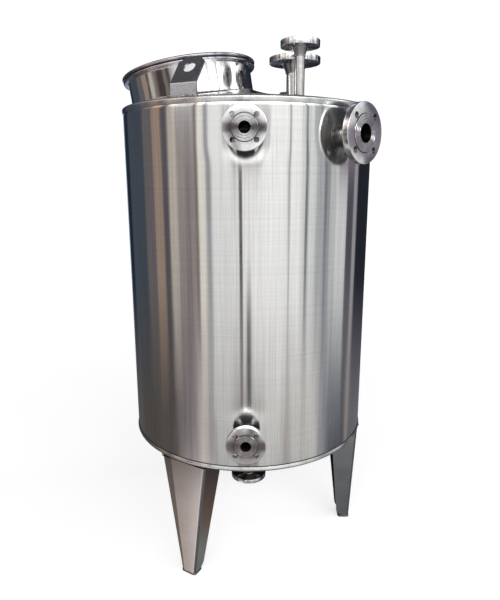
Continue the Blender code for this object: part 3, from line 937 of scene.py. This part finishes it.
def make_roof_nozzles():
    for name, (spec, (x, y), height, hub) in ROOF_NOZZLES.items():
        frame = move(x, y, RIM_LOW + height)
        reach = RIM_LOW + height - roof_height(math.hypot(x, y))
        # The back of a roof nozzle's flange gets a little painted shade
        make_nozzle(name, spec, frame, reach + 2 * SHEET + TUBE_INSIDE, hub, 0.2)
        path = [(px, py, roof_height(math.hypot(px, py)) + 0.0004)
                for px, py, _ in ring(spec.tube, 320, frame)]
        # The roof weld is painted near black: painted shadow at the tube's foot
        weld(name + "_roof_weld", path, BEAD["roof"], (0, 0, 1), "shell_steel",
             looks="shadowed_weld")


def make_outlet():
    face = RIM_LOW - OUTLET_FACE
    frame = move(0, 0, face) @ rotate(180, "X")
    tube = OUTLET_FLANGE.tube
    floor = FLOOR_EDGE - cone_drop(tube)
    make_nozzle("outlet", OUTLET_FLANGE, frame, floor + 2 * SHEET - face)
    weld("outlet_floor_weld", ring(tube, 300, height=floor), BEAD["shell"], (0, 0, 1),
         "shell_steel")


# Legs and lugs


def leg_mesh():
    """The folded channel's outer skin: flanks, a face with a pressed strip, round folds."""
    bm = bmesh.new()
    rows = []
    for height, end in ((RIM_LOW - GAP, 0), (FOOT_THICK + GAP, 1)):
        out, half, deep = LEG_FACE[end], LEG_HALF_WIDTH[end], LEG_FLANK[end]
        corners = [(out - deep, -half), (out - LEG_PRESSED[end], -half),
                   (out, LEG_CREASE[end] - half), (out, half), (out - deep, half)]
        rows.append([bm.verts.new((x, y, height)) for x, y in corners])
    top, foot = rows
    for i in range(4):
        bm.faces.new((foot[i], foot[i + 1], top[i + 1], top[i]))
    bmesh.ops.bevel(bm, geom=[foot[0], foot[4]], offset=LEG_CORNER, segments=10,
                    profile=0.5, affect="VERTICES")
    bm.normal_update()

    def bends(sharp):
        joints = [e for e in bm.edges if len(e.link_faces) == 2]
        return [e for e in joints if (abs(e.calc_face_angle()) > 0.5) == sharp]

    for sharp, offset, segments in ((False, 0.0012, 3), (True, LEG_FOLD, 10)):
        bmesh.ops.bevel(bm, geom=bends(sharp), offset=offset, segments=segments, profile=0.5,
                        affect="EDGES")
    bmesh.ops.recalc_face_normals(bm, faces=bm.faces)
    widest = max(bm.faces, key=lambda face: face.calc_area())
    if widest.normal.dot(widest.calc_center_median() - Vector(LEG_HOLLOW)) < 0:
        bmesh.ops.reverse_faces(bm, faces=bm.faces)
    return from_bmesh(bm)


def foot_mesh():
    out, half, deep = LEG_FACE[1], LEG_HALF_WIDTH[1], LEG_FLANK[1]
    long = deep - 0.0032
    bm = bmesh.new()
    bmesh.ops.create_cube(bm, size=1)
    bmesh.ops.scale(bm, verts=bm.verts, vec=(long, 2 * (half + 0.001), FOOT_THICK))
    bmesh.ops.translate(bm, verts=bm.verts, vec=(out + 0.001 - long / 2, 0, FOOT_THICK / 2))
    upright = [e for e in bm.edges
               if abs(e.verts[0].co.z - e.verts[1].co.z) > FOOT_THICK / 2]
    bmesh.ops.bevel(bm, geom=upright, offset=FOOT_CORNER, segments=8, profile=0.5,
                    affect="EDGES")
    return from_bmesh(bm)


def round_edges(mesh, width):
    return applied(mesh, "BEVEL", width=width, segments=2, limit_method="ANGLE",
                   angle_limit=math.radians(40))


def evened(mesh, frame, angle=CREASE):
    """The mesh with creases, and its shading led by the larger faces."""
    return applied(soften(mesh, frame, angle), "WEIGHTED_NORMAL", keep_sharp=True)


def make_legs():
    """Each leg of thick sheet, trimmed to the floor cone, with its pad and its weld."""
    edge = TANK_RADIUS + 0.02
    under = [(0, FLOOR_EDGE - GAP - cone_drop(0)), (CONE_RADIUS, FLOOR_EDGE - GAP),
             (edge, RIM_LOW), (edge, RIM_LOW + 0.02), (0, RIM_LOW + 0.02)]
    for name, azimuth in LEG_AZIMUTHS.items():
        frame = rotate(azimuth, "Z")
        mesh = applied(leg_mesh(), "SOLIDIFY", thickness=LEG_SHEET, offset=-1,
                       use_even_offset=True)
        mesh.transform(frame)
        mesh = drill(mesh, [revolve(under, Matrix(), 192)])
        mesh.transform(AXIS)
        mesh = evened(mesh, frame)
        shade_leg_inside(mesh, AXIS @ frame)
        add_piece(f"leg_{name}_skin", mesh, "leg_steel", f"leg_{name}")
        pad = round_edges(foot_mesh(), 0.0008)
        pad.transform(AXIS @ frame)
        pad = evened(pad, frame)
        # The whole pad is made darker and duller
        mark_inside(pad, [0.6] * len(pad.loops), 1)
        add_piece(f"foot_{name}_skin", pad, "leg_steel", f"foot_{name}")
        make_leg_weld(name, frame)


def shade_leg_inside(mesh, matrix):
    """Marks the faces that look into the folded channel with painted shade, darker and duller."""
    counts, _, middle, facing = own_faces(mesh, matrix)
    inward = ((facing[:, 1] * np.sign(middle[:, 1]) < -0.3)
              | ((facing[:, 0] < -0.3) & (middle[:, 0] > LEG_FACE[1] - 0.03)))
    mark_inside(mesh, 0.85 * inward, counts)


def make_leg_weld(name, frame):
    """The fillet along the leg's top, where it meets the floor cone."""
    out, half, deep = LEG_FACE[0] + 0.0008, LEG_HALF_WIDTH[0] + 0.0008, LEG_FLANK[0]
    fold = LEG_FOLD
    corners = ([(out - deep, -half), (out - fold, -half)]
               + arc((out - fold, -half + fold), fold, -90, 0, 12)
               + arc((out - fold, half - fold), fold, 0, 90, 12)
               + [(out - fold, half), (out - deep, half)])
    path = [frame @ Vector((x, y, FLOOR_EDGE - 0.0012
                            - cone_drop(min(math.hypot(x, y), CONE_RADIUS))))
            for x, y in walk(corners)]
    # The leg weld is painted near black: painted shadow along the leg's top
    weld(f"leg_{name}_weld", path, BEAD["leg"], (0, 0, 1), "leg_steel", False, "shadowed_weld")


def lug_mesh():
    """The bent plate, with the radius of its bend."""
    lean = math.radians(LUG_LEAN)
    centre = (-LUG_BEND, LUG_UPRIGHT - LUG_BEND * math.tan(lean / 2))
    tip = (-LUG_BLADE * math.sin(lean), LUG_UPRIGHT + LUG_BLADE * math.cos(lean))
    outline = [(0.0, -LUG_BELOW)] + arc(centre, LUG_BEND, 0, LUG_LEAN, 8)
    outline += [tip, (tip[0] - LUG_PLATE * math.cos(lean), tip[1] - LUG_PLATE * math.sin(lean))]
    outline += arc(centre, LUG_BEND - LUG_PLATE, LUG_LEAN, 0, 8)
    outline += [(-LUG_PLATE, -LUG_BELOW)]
    bm = bmesh.new()
    side = bm.faces.new([bm.verts.new((x, -LUG_WIDTH / 2, z)) for x, z in outline])
    swept = bmesh.ops.extrude_face_region(bm, geom=[side])
    moved = [v for v in swept["geom"] if isinstance(v, bmesh.types.BMVert)]
    bmesh.ops.translate(bm, verts=moved, vec=(0, LUG_WIDTH, 0))
    bmesh.ops.recalc_face_normals(bm, faces=bm.faces)
    return from_bmesh(bm)


def corner_cutter():
    """Two cubes that cut the blade's upper corners off."""
    bm = bmesh.new()
    reach = LUG_CHAMFER / math.sqrt(2)
    for side in (-1, 1):
        corner = Vector((0, side * LUG_WIDTH / 2, LUG_BLADE))
        centre = corner + Vector((0, -side, -1)).normalized() * (reach - LUG_WIDTH / 2)
        bmesh.ops.create_cube(bm, size=LUG_WIDTH, matrix=move(*centre) @ rotate(45, "X"))
    return from_bmesh(bm)


def make_lugs():
    """Each bent plate, cut to the roof's edge, with its hole and the weld round its foot."""
    over = [(0, RIM_TOP - 0.024), (TANK_RADIUS + GAP, RIM_TOP - 0.024),
            (TANK_RADIUS + GAP, RIM_TOP), (CONE_RADIUS, ROOF_EDGE + GAP),
            (0, roof_height(0) + GAP)]
    front, back, half = 0.001, -LUG_PLATE - 0.001, LUG_WIDTH / 2 + 0.0008
    outline = [(back, half), (front, half), (front, -half), (back, -half), (back, half)]
    for name, azimuth in LUG_AZIMUTHS.items():
        frame = rotate(azimuth, "Z") @ move(LUG_RADIUS, 0, RIM_TOP)
        blade = frame @ move(0, 0, LUG_UPRIGHT) @ rotate(-LUG_LEAN, "Y")
        hole = blade @ move(0, 0, LUG_HOLE_AT) @ rotate(90, "Y")
        mesh = lug_mesh()
        mesh.transform(frame)
        corners = corner_cutter()
        corners.transform(blade)
        mesh = drill(mesh, [revolve(over, Matrix(), 192), corners,
                            rod(LUG_HOLE, -0.02, 0.02, hole)])
        mesh = round_edges(mesh, 0.0007)
        mesh.transform(AXIS)
        add_piece(name + "_skin", evened(mesh, frame, 25), "lug_steel", name)
        path = [frame @ Vector((x, y, 0)) for x, y in walk(outline)]
        for point in path:
            point.z = roof_height(min(math.hypot(point.x, point.y), CONE_RADIUS)) + 0.001
        weld(name + "_weld", path, BEAD["shell"], (0, 0, 1), "lug_steel")


# Light, floor and camera


# Colours round the horizon, as each zone's last azimuth and its tone. The lines darken the
# walls, the ground lies under the walls, and BELOW lies under the ground.
WALLS = [(-156, "a9b8cc"), (-139, "222a36"), (-107.6, "454c56"), (-93.6, "686466"),
         (-82, "9c887b"), (-74.4, "57555b"), (-66, "bfb5ab"), (-44.2, "938b88"),
         (-38.3, "ebe7dd"), (-9, "ebebea"), (48, "ffffff"), (63.5, "e0e2e2"),
         (79.6, "b0b4b7"), (101.5, "dddfde"), (120, "9c9aa0"), (180, "25272f")]
GROUND = [(-132.8, "565656"), (-73, "504c49"), (-55.5, "716a6d"), (-48.9, "8d868a"),
          (-40.5, "bfb6b2"), (-34.5, "9c9698"), (-10.4, "c3c2c2"), (5.2, "b6b4b6"),
          (33.5, "d2d0cd"), (42, "b8b2b1"), (71, "cfcdca"), (77.8, "a5a4a8"), (84, "8a8a93"),
          (112.5, "5f626c"), (119, "a0958f"), (180, "6c6d75")]
LINES = [(-57.2, "ffffff"), (-51.2, "e0dce6"), (-46.8, "ffffff"), (-45, "c0b8b8"),
         (-37.9, "ffffff"), (-32.4, "a4a6aa"), (35.4, "ffffff"), (37.6, "8a8a8a"),
         (52.4, "ffffff"), (54.9, "4a4c50"), (72.8, "ffffff"), (75, "b4b6ba"),
         (87, "e2e4e4"), (101.5, "ffffff"), (113, "85878e"), (180, "ffffff")]
BELOW = [(-150, "c9ced6"), (-112, "454c56"), (-76.5, "817670"), (-71.4, "c4b8b3"),
         (-36, "f7f0ee"), (35, "71767b"), (80, "5a5a5c"), (150, "7b8180"), (180, "a9b0b8")]

# Elevations between which one tone fades into the next
UNDERFOOT = (-66, -47)
GROUND_FOOT = (-36, -31)
WALL_FOOT = (-24, -11)
LINE_FOOT = (-23, -9)
WINDOWS = (13, 24)
CEILING = (34, 48)
WINDOW_LIGHT = 3.8

# Panels in front of the walls: azimuth, half its width and its softness, elevation, half
# its height and its softness (all in degrees), and its tone
PANELS = [(-6.5, 1.5, 0.4, -5.5, 11.5, 3, "413e3c"), (-6.5, 1.5, 0.5, -21, 6, 4, "8f857e"),
          (0.8, 2.1, 0.9, -29, 17, 3, "4a464b"), (-0.8, 12.5, 1.2, 4.9, 2.1, 0.3, "2b1c17"),
          (0, 16, 2, -28.6, 3, 1, "5a514b"), (0, 26, 4, -37.5, 4.5, 1.5, "b5b1b0"),
          (101, 12, 2, 3, 3, 0.8, "7d747f"), (-165, 24, 6, 24, 13, 3, "2e2b33"),
          (-58.7, 11, 2, 14, 5.5, 1, "ffffff"), (125, 34, 5, -40, 5, 1.5, "6b5a52"),
          (125, 34, 5, -35, 6, 2, "3d3a3e")]


def strips(tree, turn, zones, soft):
    """The zones' colours, each melting into the next over the soft azimuth on either side."""
    made = node(tree, "ShaderNodeValToRGB", {0: turn})
    stops = []
    for i, (end, colour) in enumerate(zones):
        start = zones[i - 1][0] if i else -180
        stops += [(start + soft, colour), (end - soft, colour)]
    elements = made.node.color_ramp.elements
    for i, position in ((0, 0), (-1, 1)):
        elements[i].position = position
        elements[i].color = tone(stops[i][1])
    for azimuth, colour in stops[1:-1]:
        elements.new(azimuth / 360 + 0.5).color = tone(colour)
    return made


def make_world():
    """White for the camera; strips of light and dark round the tank for its mirror finish."""
    world = bpy.data.worlds.new("studio")
    bpy.context.scene.world = world
    world.use_nodes = True
    tree = world.node_tree
    tree.nodes.clear()
    way = node(tree, "ShaderNodeTexCoord", {}, "Generated")
    x, y, z = node(tree, "ShaderNodeSeparateXYZ", {0: way}).node.outputs
    turn = maths(tree, "ARCTAN2", x, maths(tree, "MULTIPLY", y, -1.0))
    turn = maths(tree, "ADD", maths(tree, "DIVIDE", turn, 2 * math.pi), 0.5)
    up = maths(tree, "ARCSINE", z)
    aside = maths(tree, "MULTIPLY", maths(tree, "SUBTRACT", turn, 0.5), 360)
    rise = maths(tree, "MULTIPLY", up, 180 / math.pi)

    def above(span, lowest=0):
        return spread(tree, up, math.radians(span[0]), math.radians(span[1]), lowest, 1)

    def beside(value, centre, half, soft):
        off = maths(tree, "ABSOLUTE", maths(tree, "SUBTRACT", value, centre))
        return spread(tree, off, half - soft, half + soft, 1, 0)

    walls = strips(tree, turn, WALLS, 0.7)
    bright = vectors(tree, "MULTIPLY", walls, [WINDOW_LIGHT] * 3)
    room = mix(tree, above(WINDOWS), walls, bright)
    room = mix(tree, above(WALL_FOOT), strips(tree, turn, GROUND, 2.5), room)
    room = mix(tree, above(LINE_FOOT, 0.2), room, strips(tree, turn, LINES, 0.3), "MULTIPLY")
    room = mix(tree, above(CEILING), room, "555659")
    room = mix(tree, above(GROUND_FOOT), strips(tree, turn, BELOW, 0.3), room)
    for azimuth, wide, side_soft, elevation, high, soft, colour in PANELS:
        share = maths(tree, "MULTIPLY", beside(aside, azimuth, wide, side_soft),
                      beside(rise, elevation, high, soft))
        room = mix(tree, share, room, colour)
    room = mix(tree, above(UNDERFOOT), "514b46", room)
    lit = node(tree, "ShaderNodeBackground", {"Color": room, "Strength": 1.0})
    plain = node(tree, "ShaderNodeBackground", {"Color": (1, 1, 1, 1), "Strength": 1.05})
    seen = node(tree, "ShaderNodeLightPath", {}, "Is Camera Ray")
    both = node(tree, "ShaderNodeMixShader", {0: seen, 1: lit, 2: plain})
    tree.links.new(both, tree.nodes.new("ShaderNodeOutputWorld").inputs["Surface"])


def make_ground():
    """A wide pale floor, lit so that it melts into the backdrop."""
    bm = bmesh.new()
    bmesh.ops.create_circle(bm, cap_ends=True, segments=96, radius=14)
    mesh = from_bmesh(bm)
    mesh.transform(move(0, 0, -0.0002))
    floor = new_object("studio_floor", mesh)
    made = bpy.data.materials.new("studio_floor")
    made.use_nodes = True
    fill(made.node_tree, made.node_tree.nodes["Principled BSDF"], {
        "Base Color": (0.75, 0.75, 0.75, 1), "Roughness": 0.9,
        "Emission Color": (1, 1, 1, 1), "Emission Strength": 0.62})
    mesh.materials.append(made)
    floor.visible_glossy = False


def make_camera():
    made = bpy.data.cameras.new("camera")
    made.sensor_width = 36
    made.lens = LENS
    camera = new_object("camera", made)
    camera.matrix_world = (AXIS @ move(0, -CAMERA_BACK, RIM_LOW + CAMERA_UP)
                           @ rotate(-CAMERA_YAW, "Z") @ rotate(90 - CAMERA_PITCH, "X")
                           @ rotate(CAMERA_ROLL, "Z"))
    bpy.context.scene.camera = camera


MATERIALS = {maker.__name__: metal(maker) for maker in (
    shell_steel, rim_steel, mirror_steel, collar_steel, flange_steel, tube_steel, leg_steel,
    lug_steel, weld_steel, shadowed_weld, gasket_rubber)}

make_shell()
make_roof()
make_floor()
make_manway()
make_collar()
make_side_nozzles()
make_roof_nozzles()
make_outlet()
make_legs()
make_lugs()
make_world()
make_ground()
make_camera()
bpy.context.scene.view_settings.view_transform = "Standard"
